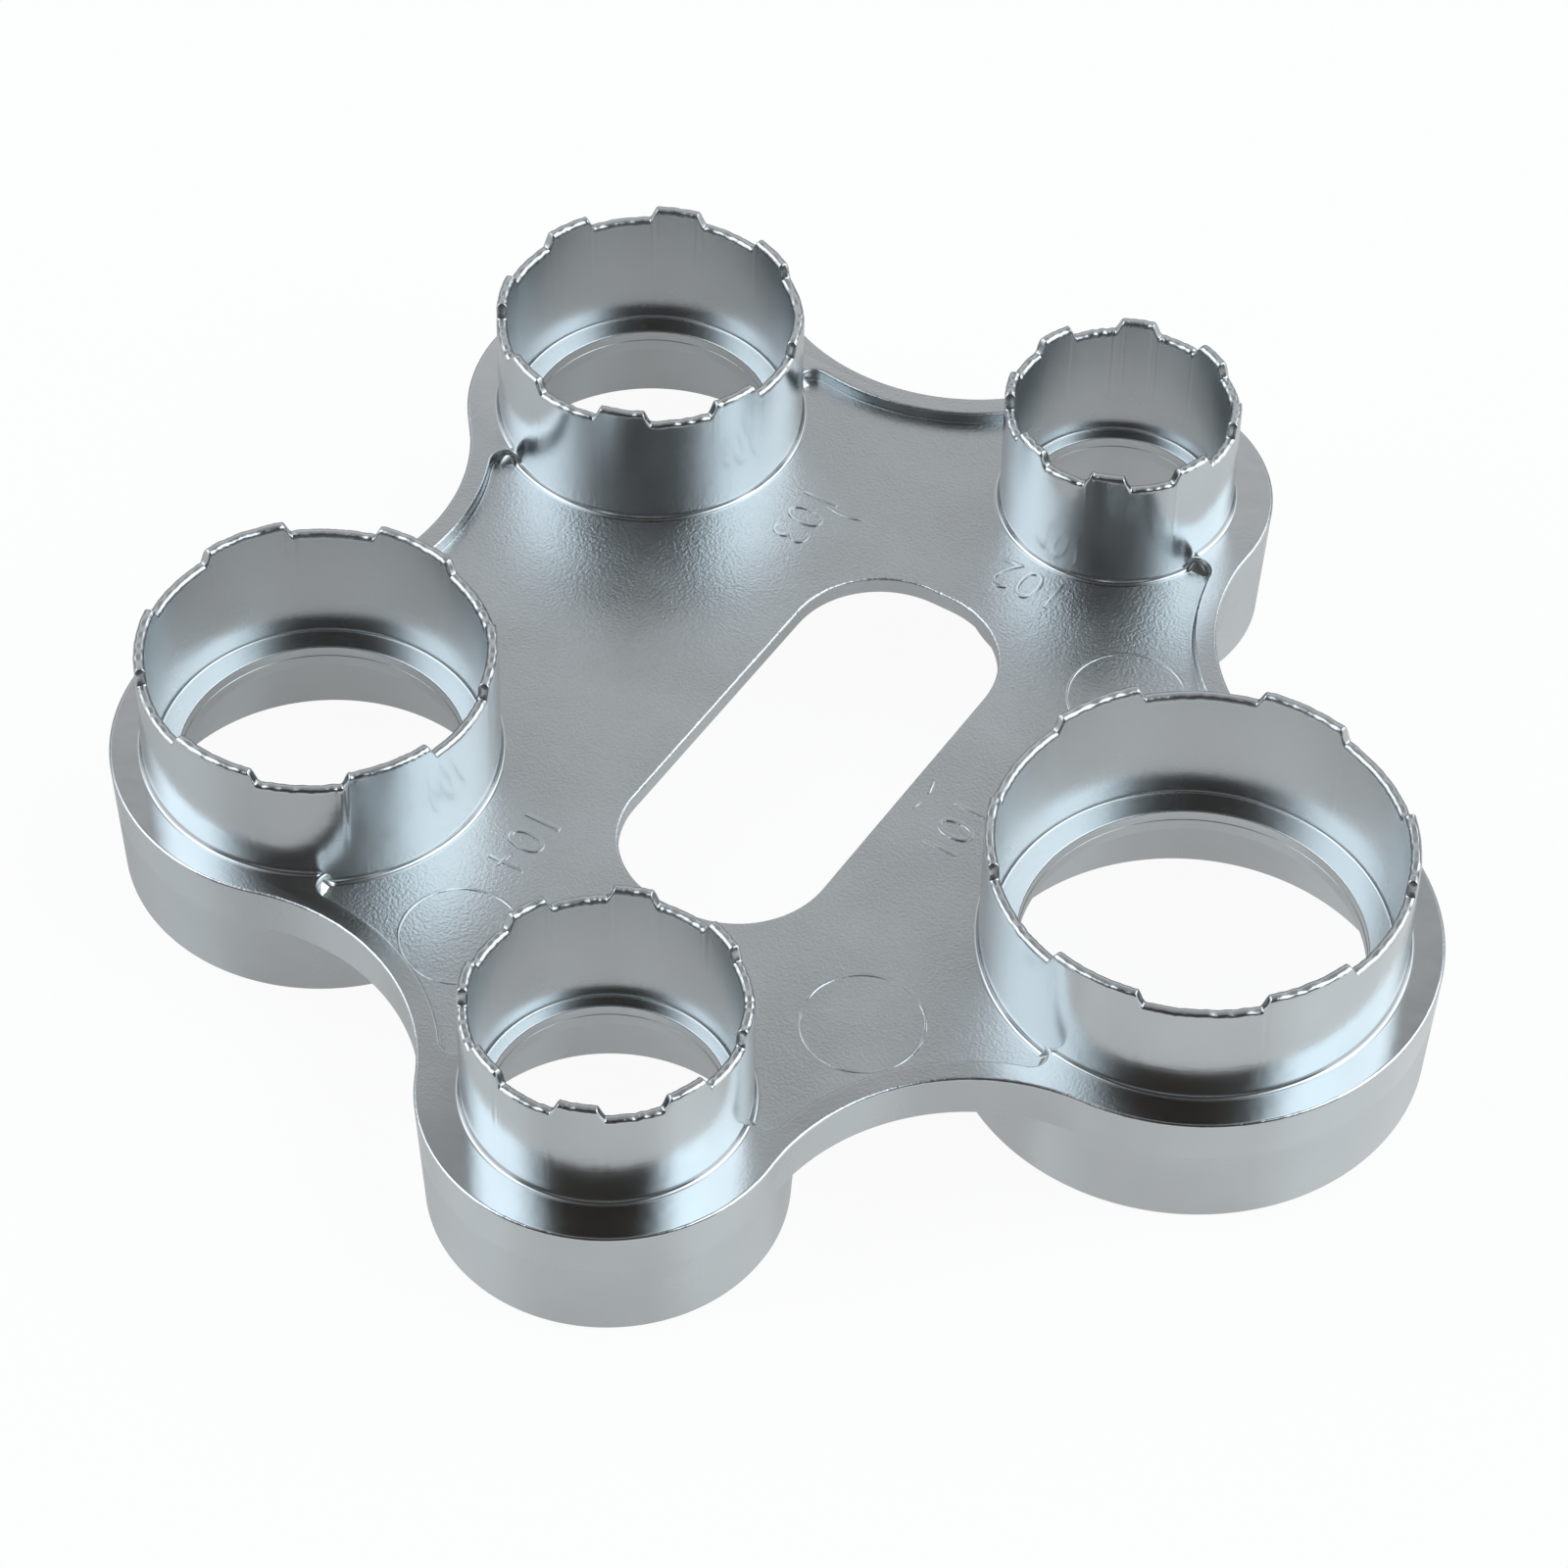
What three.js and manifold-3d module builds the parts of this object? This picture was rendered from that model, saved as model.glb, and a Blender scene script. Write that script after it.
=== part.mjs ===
// Faucet aerator wrench: a plated zinc casting with five toothed sockets round a plate with a hand slot.
// Millimetres, +Z up. It stands on its five skirts, and the origin is under the middle of its bounding box.
// The hand slot runs along Y. The casting is divided into five sectors, one for each socket, and each
// sector where its features change level: skirt, lower rim, deck, upper rim and crown, face to face.

import * as THREE from 'three';
import { mergeVertices } from 'three/addons/utils/BufferGeometryUtils.js';
import Module from 'manifold-3d';

const wasm = await Module();
wasm.setup();

// The sockets are named after the spout threads that their crowns pass through. X and Y are measured from
// the middle of the hand slot. CROWN is an outer diameter, SHELF is the flat from the crown's wall to the
// boss's edge, LEDGE is the width of the step inside, and TOOTH_WIDTH runs round the crown.
const M28_X = 28.0;
const M28_Y = -0.7;
const M28_CROWN = 26.2;
const M28_SHELF = 2.2;
const M28_LEDGE = 1.65;
const M28_TOOTH_WIDTH = 5.7;

const M16_5_X = 4.95;
const M16_5_Y = 29.3;
const M16_5_CROWN = 15.2;
const M16_5_SHELF = 2.6;
const M16_5_LEDGE = 0.85;
const M16_5_TOOTH_WIDTH = 2.3;

const M21_5_X = -24.9;
const M21_5_Y = 19.55;
const M21_5_CROWN = 20.0;
const M21_5_SHELF = 2.1;
const M21_5_LEDGE = 1.4;
const M21_5_TOOTH_WIDTH = 3.0;

const M24_X = -25.45;
const M24_Y = -16.9;
const M24_CROWN = 22.4;
const M24_SHELF = 2.05;
const M24_LEDGE = 1.5;
const M24_TOOTH_WIDTH = 5.5;

const M18_5_X = 4.95;
const M18_5_Y = -30.4;
const M18_5_CROWN = 17.5;
const M18_5_SHELF = 2.75;
const M18_5_LEDGE = 0.85;
const M18_5_TOOTH_WIDTH = 2.5;

// The sockets in order, counter-clockwise, with their numbers of teeth
const SOCKETS = [
  {
    name: 'm28', x: M28_X, y: M28_Y, teeth: 6,
    crown: M28_CROWN, shelf: M28_SHELF, ledge: M28_LEDGE, tooth: M28_TOOTH_WIDTH,
  },
  {
    name: 'm16_5', x: M16_5_X, y: M16_5_Y, teeth: 8,
    crown: M16_5_CROWN, shelf: M16_5_SHELF, ledge: M16_5_LEDGE, tooth: M16_5_TOOTH_WIDTH,
  },
  {
    name: 'm21_5', x: M21_5_X, y: M21_5_Y, teeth: 8,
    crown: M21_5_CROWN, shelf: M21_5_SHELF, ledge: M21_5_LEDGE, tooth: M21_5_TOOTH_WIDTH,
  },
  {
    name: 'm24', x: M24_X, y: M24_Y, teeth: 6,
    crown: M24_CROWN, shelf: M24_SHELF, ledge: M24_LEDGE, tooth: M24_TOOTH_WIDTH,
  },
  {
    name: 'm18_5', x: M18_5_X, y: M18_5_Y, teeth: 8,
    crown: M18_5_CROWN, shelf: M18_5_SHELF, ledge: M18_5_LEDGE, tooth: M18_5_TOOTH_WIDTH,
  },
];

// Heights, from the table upwards
const SKIRT_HEIGHT = 5.7;
const RIM_DROP = 1.3; // rim below the deck's underside
const DECK_THICKNESS = 1.3;
const RIM_RISE = 0.85; // rim and shelves above the deck
const CROWN_HEIGHT = 8.4; // shelf to tooth tips
const TOOTH_HEIGHT = 0.9;
const LEDGE_DEPTH = 0.3; // ledge inside each socket, below the deck's top
const FLANGE_THICKNESS = 1.7; // metal under that ledge

// Walls and the plate's outline
const CROWN_WALL = 0.7;
const TOOTH_FLANK = 0.35; // run of each sloping tooth side
const SKIRT_WALL = 1.1; // at the foot
const FOOT_INSET = 0.46; // how far the foot stands inside the boss's edge
const WEB_RADIUS = 13.7; // hollow edge between two neighbouring bosses
const RIM_WIDTH = 1.5;
const RECESS_CORNER = 1.0; // round end of the recess, between a crown and the rim

// Hand slot
const SLOT_LENGTH = 31.5;
const SLOT_WIDTH = 13.8;
const SLOT_CORNER = 6.2;
const SLOT_MIDDLE = new THREE.Vector2(0, 0);

// Facets and finish
const TURN_SEGMENTS = 40;
const TURN_STEP = (2 * Math.PI) / TURN_SEGMENTS;
const SLOT_STEP = (2 * Math.PI) / 72; // between points on the hand slot's edge, seen from its middle
const CHORD_ERROR = 0.035; // how far a facet of an outline may lie inside its arc
const CUT_MARGIN = 1.0; // how far a cutting tool runs past the metal
const ZINC_PLATE = { color: 0xa8afb3, roughness: 0.34, metalness: 1.0 };

// Levels that follow from the heights
const DECK_BOTTOM = SKIRT_HEIGHT + RIM_DROP;
const DECK_TOP = DECK_BOTTOM + DECK_THICKNESS;
const SHELF = DECK_TOP + RIM_RISE;
const TOP = SHELF + CROWN_HEIGHT;
const LEDGE = DECK_TOP - LEDGE_DEPTH;
const FLANGE_BOTTOM = LEDGE - FLANGE_THICKNESS;

// Radii that follow from a socket's diameters
const centreOf = (socket) => new THREE.Vector2(socket.x, socket.y);
const crownRadius = (socket) => socket.crown / 2;
const bossRadius = (socket) => crownRadius(socket) + socket.shelf;
const footRadius = (socket) => bossRadius(socket) - FOOT_INSET;
const skirtBore = (socket) => footRadius(socket) - SKIRT_WALL;
const crownBore = (socket) => crownRadius(socket) - CROWN_WALL;
const flangeBore = (socket) => crownBore(socket) - socket.ledge;

const nextSocket = (index) => SOCKETS[(index + 1) % SOCKETS.length];
const previousSocket = (index) => SOCKETS[(index + SOCKETS.length - 1) % SOCKETS.length];

// The point at two given distances from two points, to the left (1) or right (-1) of the way from a to b.
function pointAtDistances(a, distanceA, b, distanceB, side) {
  const along = b.clone().sub(a);
  const apart = along.length();
  along.divideScalar(apart);
  const forward = (apart ** 2 + distanceA ** 2 - distanceB ** 2) / (2 * apart);
  const sideways = side * Math.sqrt(Math.max(distanceA ** 2 - forward ** 2, 0));
  return new THREE.Vector2(
    a.x + along.x * forward - along.y * sideways,
    a.y + along.y * forward + along.x * sideways,
  );
}

const bearing = (from, to) => Math.atan2(to.y - from.y, to.x - from.x);

// How far to turn counter-clockwise from one bearing to another.
const leftTurn = (from, to) => THREE.MathUtils.euclideanModulo(to - from, 2 * Math.PI);

const pointOnCircle = (centre, radius, angle) => new THREE.Vector2(
  centre.x + radius * Math.cos(angle),
  centre.y + radius * Math.sin(angle),
);

// The points of an arc, from one bearing to another, without its last point.
function arcPoints(centre, radius, from, to, clockwise) {
  const sweep = clockwise ? -leftTurn(to, from) : leftTurn(from, to);
  const longestStep = 2 * Math.acos(1 - CHORD_ERROR / radius);
  const count = Math.max(2, Math.ceil(Math.abs(sweep) / longestStep));
  return Array.from({ length: count }, (_, step) => (
    pointOnCircle(centre, radius, from + (sweep * step) / count)
  ));
}

// Centre of the hollow edge that touches two neighbouring bosses from outside the plate.
function webCentre(socket, next) {
  return pointAtDistances(
    centreOf(socket), bossRadius(socket) + WEB_RADIUS,
    centreOf(next), bossRadius(next) + WEB_RADIUS, -1,
  );
}

// The hollow edges on both sides of a socket. Each is cut in two on the line from its centre to the slot's
// middle, where the sector ends.
const websBeside = (index) => ({
  before: webCentre(previousSocket(index), SOCKETS[index]),
  after: webCentre(SOCKETS[index], nextSocket(index)),
});

// A sector's outer edge, counter-clockwise: half of a hollow edge, round the boss, half of the next.
function outerEdge(index) {
  const socket = SOCKETS[index];
  const centre = centreOf(socket);
  const { before, after } = websBeside(index);
  const cutBearing = bearing(after, SLOT_MIDDLE);
  return [
    ...arcPoints(before, WEB_RADIUS, bearing(before, SLOT_MIDDLE), bearing(before, centre), true),
    ...arcPoints(centre, bossRadius(socket), bearing(centre, before), bearing(centre, after), false),
    ...arcPoints(after, WEB_RADIUS, bearing(after, centre), cutBearing, true),
    pointOnCircle(after, WEB_RADIUS, cutBearing),
  ];
}

// The round end of a recess between a wall at a socket and the rim along a hollow edge.
// It is at least half as wide as the narrowest gap between the two.
function recessCorner(socket, wall, web, side) {
  const rim = WEB_RADIUS + RIM_WIDTH;
  const gap = centreOf(socket).distanceTo(web) - wall - rim;
  const radius = Math.max(RECESS_CORNER, gap / 2);
  return { radius, centre: pointAtDistances(centreOf(socket), wall + radius, web, rim + radius, side) };
}

// The edge of the recess in a sector, counter-clockwise: along the rim, round a wall of the given radius at
// the socket, and along the rim again.
function recessEdge(index, wallRadius) {
  const socket = SOCKETS[index];
  const wall = wallRadius(socket);
  const centre = centreOf(socket);
  const rim = WEB_RADIUS + RIM_WIDTH;
  const { before, after } = websBeside(index);
  const cutBearing = bearing(after, SLOT_MIDDLE);
  const enter = recessCorner(socket, wall, before, -1);
  const leave = recessCorner(socket, wall, after, 1);
  const cornerArc = (corner, from, to) => arcPoints(
    corner.centre, corner.radius, bearing(corner.centre, from), bearing(corner.centre, to), false,
  );
  return [
    ...arcPoints(before, rim, bearing(before, SLOT_MIDDLE), bearing(before, enter.centre), true),
    ...cornerArc(enter, before, centre),
    ...arcPoints(centre, wall, bearing(centre, enter.centre), bearing(centre, leave.centre), true),
    ...cornerArc(leave, centre, after),
    ...arcPoints(after, rim, bearing(after, leave.centre), cutBearing, true),
    pointOnCircle(after, rim, cutBearing),
  ];
}

// The hand slot's edge at a bearing from its middle: on a side, on an end, or on the round corner between.
function slotPoint(angle) {
  const radius = Math.min(SLOT_CORNER, SLOT_WIDTH / 2, SLOT_LENGTH / 2);
  const corner = new THREE.Vector2(SLOT_WIDTH / 2 - radius, SLOT_LENGTH / 2 - radius);
  const across = Math.abs(Math.cos(angle));
  const along = Math.abs(Math.sin(angle));
  const toSide = SLOT_WIDTH / 2 / across;
  const toEnd = SLOT_LENGTH / 2 / along;
  const toCorner = across * corner.x + along * corner.y;
  let reach = toCorner + Math.sqrt(Math.max(toCorner ** 2 - corner.lengthSq() + radius ** 2, 0));
  if (toSide * along <= corner.y) {
    reach = toSide;
  } else if (toEnd * across <= corner.x) {
    reach = toEnd;
  }
  return pointOnCircle(SLOT_MIDDLE, reach, angle);
}

// The hand slot's edge in a sector, counter-clockwise. Where it runs straight its points are in one line.
function slotEdge(index) {
  const { before, after } = websBeside(index);
  const from = bearing(SLOT_MIDDLE, before);
  const to = bearing(SLOT_MIDDLE, after);
  const sweep = leftTurn(from, to);
  const count = Math.ceil(sweep / SLOT_STEP);
  const inside = Array.from({ length: count - 1 }, (_, step) => (
    slotPoint(from + (sweep * (step + 1)) / count)
  ));
  return [slotPoint(from), ...inside, slotPoint(to)];
}

// A flat solid between two levels, from a sector's outer edge to its inner edge.
function sectorPrism(outer, inner, bottom, top) {
  const shape = new THREE.Shape([...outer, ...inner.toReversed()]);
  const geometry = new THREE.ExtrudeGeometry(shape, { depth: top - bottom, bevelEnabled: false });
  return geometry.translate(0, 0, bottom);
}

// A turned solid about Z, from a profile of [radius, height] that starts and ends on the axis.
function turned(profile) {
  const points = profile.map(([radius, height]) => new THREE.Vector2(radius, height));
  return new THREE.LatheGeometry(points, TURN_SEGMENTS).rotateX(Math.PI / 2);
}

// Joins and cuts are made on merged, position-only copies of the geometries.
function toSolid(geometry) {
  const bare = geometry.clone();
  bare.deleteAttribute('normal');
  bare.deleteAttribute('uv');
  const merged = mergeVertices(bare);
  return new wasm.Manifold(new wasm.Mesh({
    numProp: 3,
    vertProperties: new Float32Array(merged.attributes.position.array),
    triVerts: new Uint32Array(merged.index.array),
  }));
}

function toGeometry(solid) {
  const mesh = solid.getMesh();
  const geometry = new THREE.BufferGeometry();
  geometry.setAttribute('position', new THREE.BufferAttribute(new Float32Array(mesh.vertProperties), 3));
  geometry.setIndex(new THREE.BufferAttribute(new Uint32Array(mesh.triVerts), 1));
  geometry.computeVertexNormals();
  return geometry;
}

function cut(geometry, tools) {
  return toGeometry(tools.reduce((solid, tool) => solid.subtract(toSolid(tool)), toSolid(geometry)));
}

// What is open inside a socket: the wide skirt, the narrow flange hole and the crown above its ledge.
function socketBore(socket) {
  return turned([
    [0, -CUT_MARGIN],
    [skirtBore(socket), -CUT_MARGIN],
    [skirtBore(socket), FLANGE_BOTTOM],
    [flangeBore(socket), FLANGE_BOTTOM],
    [flangeBore(socket), LEDGE],
    [crownBore(socket), LEDGE],
    [crownBore(socket), TOP + CUT_MARGIN],
    [0, TOP + CUT_MARGIN],
  ]);
}

const placedBore = (socket) => socketBore(socket).translate(socket.x, socket.y, 0);

// The skirt below the plate: a boss that narrows to its foot, hollowed from below.
function skirtGeometry(socket) {
  const boss = turned([
    [0, 0],
    [footRadius(socket), 0],
    [bossRadius(socket), SKIRT_HEIGHT],
    [0, SKIRT_HEIGHT],
  ]);
  return cut(boss, [socketBore(socket)]);
}

// The height of a crown's edge round its turn, as [angle, height] columns: a gap lies on +X.
function crownColumns(socket) {
  const pitch = (2 * Math.PI) / socket.teeth;
  const halfTooth = socket.tooth / 2 / crownRadius(socket);
  const flank = TOOTH_FLANK / crownRadius(socket);
  const high = CROWN_HEIGHT;
  const low = CROWN_HEIGHT - TOOTH_HEIGHT;
  const marks = [
    [0, low],
    [pitch / 2 - halfTooth - flank, low],
    [pitch / 2 - halfTooth, high],
    [pitch / 2 + halfTooth, high],
    [pitch / 2 + halfTooth + flank, low],
    [pitch, low],
  ];
  const onePitch = marks.slice(0, -1).flatMap(([angle, height], index) => {
    const [nextAngle, nextHeight] = marks[index + 1];
    const count = Math.ceil((nextAngle - angle) / TURN_STEP);
    return Array.from({ length: count }, (_, step) => [
      angle + ((nextAngle - angle) * step) / count,
      height + ((nextHeight - height) * step) / count,
    ]);
  });
  return Array.from({ length: socket.teeth }, (_, tooth) => (
    onePitch.map(([angle, height]) => [angle + tooth * pitch, height])
  )).flat();
}

// A crown: a thin round wall on the shelf whose upper edge follows the columns.
function crownGeometry(socket) {
  const outer = crownRadius(socket);
  const inner = crownBore(socket);
  const columns = crownColumns(socket);
  const positions = columns.flatMap(([angle, height]) => {
    const x = Math.cos(angle);
    const y = Math.sin(angle);
    return [
      outer * x, outer * y, 0,
      outer * x, outer * y, height,
      inner * x, inner * y, height,
      inner * x, inner * y, 0,
    ];
  });
  const corners = 4;
  const indices = columns.flatMap((_, column) => {
    const here = column * corners;
    const there = ((column + 1) % columns.length) * corners;
    return Array.from({ length: corners }, (__, side) => {
      const other = (side + 1) % corners;
      return [here + side, there + side, there + other, here + side, there + other, here + other];
    }).flat();
  });
  const geometry = new THREE.BufferGeometry();
  geometry.setAttribute('position', new THREE.Float32BufferAttribute(positions, 3));
  geometry.setIndex(indices);
  geometry.computeVertexNormals();
  return geometry;
}

// The frame under the deck: a boss and the hanging rim beside it.
const lowerRimGeometry = (socket, index) => cut(
  sectorPrism(outerEdge(index), recessEdge(index, bossRadius), SKIRT_HEIGHT, DECK_BOTTOM),
  [placedBore(socket)],
);

// The deck: the plate between the outer edge and the hand slot, with the ledge inside the socket.
const deckGeometry = (socket, index) => cut(
  sectorPrism(outerEdge(index), slotEdge(index), DECK_BOTTOM, DECK_TOP),
  [placedBore(socket)],
);

// The frame on the deck: the shelf round a crown and the raised rim beside it.
const upperRimGeometry = (socket, index) => cut(
  sectorPrism(outerEdge(index), recessEdge(index, crownRadius), DECK_TOP, SHELF),
  [placedBore(socket)],
);

function addPiece(parent, name, geometry) {
  const mesh = new THREE.Mesh(geometry, new THREE.MeshStandardMaterial(ZINC_PLATE));
  mesh.name = name;
  parent.add(mesh);
  return mesh;
}

// The middle of the bounding box, from the slot: the bosses alone reach its sides.
function middleOfBosses() {
  const box = new THREE.Box2();
  for (const socket of SOCKETS) {
    const reach = new THREE.Vector2(bossRadius(socket), bossRadius(socket));
    box.expandByPoint(centreOf(socket).add(reach));
    box.expandByPoint(centreOf(socket).sub(reach));
  }
  return box.getCenter(new THREE.Vector2());
}

const wrench = new THREE.Group();
const middle = middleOfBosses();
wrench.position.set(-middle.x, -middle.y, 0);

SOCKETS.forEach((socket, index) => {
  const { name, x, y } = socket;
  addPiece(wrench, `skirt_${name}`, skirtGeometry(socket)).position.set(x, y, 0);
  addPiece(wrench, `rim_lower_${name}`, lowerRimGeometry(socket, index));
  addPiece(wrench, `deck_${name}`, deckGeometry(socket, index));
  addPiece(wrench, `rim_upper_${name}`, upperRimGeometry(socket, index));
  addPiece(wrench, `crown_${name}`, crownGeometry(socket)).position.set(x, y, SHELF);
});

export default wrench;
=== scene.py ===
"""Looks of a faucet aerator wrench: one zinc die casting with satin, slightly bluish plating.

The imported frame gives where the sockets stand, how wide they are and at which levels the casting changes.
Lengths are millimetres until a mesh is written, in metres. Each surface is a grid of two parameters: a
section turned round a socket, or a section carried along the plate's edge, worked out as whole arrays.
"""

import logging
import math
from dataclasses import dataclass
from enum import Enum

import bmesh
import bpy
import numpy as np
from mathutils import Matrix, Vector
from mathutils.geometry import tessellate_polygon


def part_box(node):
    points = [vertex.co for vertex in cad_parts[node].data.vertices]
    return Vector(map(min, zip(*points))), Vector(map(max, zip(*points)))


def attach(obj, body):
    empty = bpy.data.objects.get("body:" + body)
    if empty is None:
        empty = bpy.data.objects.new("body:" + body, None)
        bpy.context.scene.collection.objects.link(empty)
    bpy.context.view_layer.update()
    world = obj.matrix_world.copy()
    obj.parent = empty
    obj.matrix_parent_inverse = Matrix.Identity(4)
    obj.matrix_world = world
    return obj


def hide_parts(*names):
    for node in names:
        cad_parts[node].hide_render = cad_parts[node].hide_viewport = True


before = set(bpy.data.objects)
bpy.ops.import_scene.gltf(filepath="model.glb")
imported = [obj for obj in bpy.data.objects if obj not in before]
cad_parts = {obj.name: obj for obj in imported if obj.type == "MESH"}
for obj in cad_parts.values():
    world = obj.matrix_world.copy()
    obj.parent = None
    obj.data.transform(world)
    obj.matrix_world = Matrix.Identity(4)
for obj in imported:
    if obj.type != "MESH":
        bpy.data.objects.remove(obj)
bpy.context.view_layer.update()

MM = 0.001
BODY = "root"
TURN = 2.0 * math.pi
WHITE = (1.0, 1.0, 1.0, 1.0)
SHARP_ANGLE = math.radians(40.0)
MERGE_DISTANCE = 1e-7
ARC_STEPS = 6  # parts of a rounded corner
SUPPORT = 0.04  # flat kept beside a rounded corner
FEATHER_RISE = 0.002  # how far a fillet's thin edge lies off the surface that it blends into
FEATHER_WIDTH = 0.06  # how far that edge runs out over the surface
LOG = logging.getLogger("wrench")


def unit(vectors: np.ndarray) -> np.ndarray:
    """Vectors of length one along the last axis."""
    return vectors / np.linalg.norm(vectors, axis=-1, keepdims=True)


def direction(angles: np.ndarray | float) -> np.ndarray:
    """Unit vectors in the plane at the given bearings."""
    return np.stack([np.cos(angles), np.sin(angles)], axis=-1)


def bearing(start: np.ndarray, end: np.ndarray) -> float:
    """Bearing from one point of the plane to another."""
    return math.atan2(end[1] - start[1], end[0] - start[0])


def left_turn(start: float, end: float) -> float:
    """How far to turn counter-clockwise from one bearing to another."""
    return (end - start) % TURN


def smoothstep(values: np.ndarray) -> np.ndarray:
    """The curve 3t^2 - 2t^3 of values held between 0 and 1."""
    held = np.clip(values, 0.0, 1.0)
    return held * held * (3.0 - 2.0 * held)


def point_at_distances(a: np.ndarray, to_a: float, b: np.ndarray, to_b: float, side: int) -> np.ndarray:
    """The point at two distances from two points.

    Args:
        a: first point.
        to_a: distance from the first point.
        b: second point.
        to_b: distance from the second point.
        side: 1 for the point to the left of the way from a to b, -1 for the one to the right.

    Returns:
        The point where the two circles cross on that side.
    """
    apart = np.linalg.norm(b - a)
    along = (b - a) / apart
    forward = (apart**2 + to_a**2 - to_b**2) / (2.0 * apart)
    sideways = side * math.sqrt(max(to_a**2 - forward**2, 0.0))
    return a + along * forward + np.array([-along[1], along[0]]) * sideways


@dataclass(frozen=True)
class Corner:
    """A corner of a section: how far across it lies, its level, and the radius that rounds it.

    Across and level hold one value, or one for each column. Worn and satin run from 0 to 1: how much the
    corner is a worn edge, and how dull the surface is beside it.
    """

    across: np.ndarray | float
    level: np.ndarray | float
    radius: float = 0.0
    worn: float = 0.0
    satin: float = 0.0


@dataclass(frozen=True)
class Section:
    """A section with rounded corners: points as (row, column, 2), and what each row tells the finish."""

    points: np.ndarray
    worn: np.ndarray
    satin: np.ndarray

    def carried(self, path: np.ndarray, facing: np.ndarray) -> np.ndarray:
        """Carries the section along a path.

        Args:
            path: a place in the plane for each column, or one for all.
            facing: which way across each column's section faces.

        Returns:
            The surface's points, as (row, column, 3).
        """
        flat = path + self.points[..., :1] * facing
        return np.concatenate([flat, self.points[..., 1:]], axis=-1)


def round_section(corners: list[Corner], columns: int) -> Section:
    """Rounds the corners of a section, in all its columns at once.

    A corner of angle phi becomes an arc that starts and ends radius / tan(phi / 2) away from it and turns
    evenly about its own centre. A support point past each end keeps the flats beside it flat. A corner of
    radius 0 stays one point.

    Args:
        corners: the corners, in order.
        columns: number of columns.

    Returns:
        The rounded section.
    """
    flat = np.ones(columns)
    places = np.stack(
        [np.stack([corner.across * flat, corner.level * flat], axis=-1) for corner in corners]
    )
    befores = np.roll(places, 1, axis=0)
    afters = np.roll(places, -1, axis=0)
    steps = np.linspace(0.0, 1.0, ARC_STEPS + 1)[:, None, None]
    rows = []
    worn = []
    satin = []
    for corner, place, before, after in zip(corners, places, befores, afters):
        if corner.radius == 0.0:
            rows.append(place[None])
            worn.append(np.zeros(1))
        else:
            back = unit(before - place)
            ahead = unit(after - place)
            half = 0.5 * np.arccos(np.clip((back * ahead).sum(-1, keepdims=True), -1.0, 1.0))
            reach = corner.radius / np.tan(half)
            centre = place + unit(back + ahead) * corner.radius / np.sin(half)
            swing = math.pi - 2.0 * half
            start = place + back * reach
            end = place + ahead * reach
            arc = centre + (
                np.sin((1.0 - steps) * swing) * (start - centre) + np.sin(steps * swing) * (end - centre)
            ) / np.sin(swing)
            first = (start + back * SUPPORT)[None]
            last = (end + ahead * SUPPORT)[None]
            rows.append(np.concatenate([first, arc, last]))
            worn.append(corner.worn * np.pad(np.sin(math.pi * steps[:, 0, 0]), 1))
        satin.append(np.full(len(worn[-1]), corner.satin))
    return Section(np.concatenate(rows), np.concatenate(worn), np.concatenate(satin))


def ripple(angles: np.ndarray, waves: tuple[int, int], seed: int) -> np.ndarray:
    """A small closed irregularity: the sum of sines of whole wave numbers with seeded phases.

    Args:
        angles: where it is wanted, round one turn.
        waves: lowest and highest number of waves in a turn.
        seed: seed of the phases and strengths.

    Returns:
        Values with a spread of about 1.
    """
    draw = np.random.default_rng(seed)
    numbers = np.arange(*waves)
    phases = draw.uniform(0.0, TURN, numbers.size)
    strengths = draw.normal(0.0, 1.0, numbers.size) * math.sqrt(2.0 / numbers.size)
    return (strengths * np.sin(numbers * angles[:, None] + phases)).sum(axis=1)


def grid_faces(rows: int, columns: int, close_rows: bool, close_columns: bool = True) -> np.ndarray:
    """Quads of a grid.

    Args:
        rows: number of rows, round the section.
        columns: number of columns, along the path.
        close_rows: whether the last row joins the first.
        close_columns: whether the last column joins the first.

    Returns:
        Vertex numbers of the quads, as (face, 4).
    """
    here = np.arange(rows * columns).reshape(rows, columns)
    below = np.roll(here, -1, axis=0)
    quads = np.stack([here, np.roll(here, -1, axis=1), np.roll(below, -1, axis=1), below], axis=-1)
    quads = quads if close_rows else quads[:-1]
    return (quads if close_columns else quads[:, :-1]).reshape(-1, 4)


def facing_out(points: np.ndarray, quads: np.ndarray) -> np.ndarray:
    """Turns the quads of a closed surface round if they enclose a negative volume.

    Args:
        points: vertices, as (vertex, 3).
        quads: vertex numbers of the quads, all wound alike.

    Returns:
        The quads, facing out.
    """
    a, b, c, d = (points[quads[:, corner]] for corner in range(4))
    volume = (np.cross(a, b) * c).sum() + (np.cross(a, c) * d).sum()
    return quads if volume > 0.0 else quads[:, ::-1]


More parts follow.
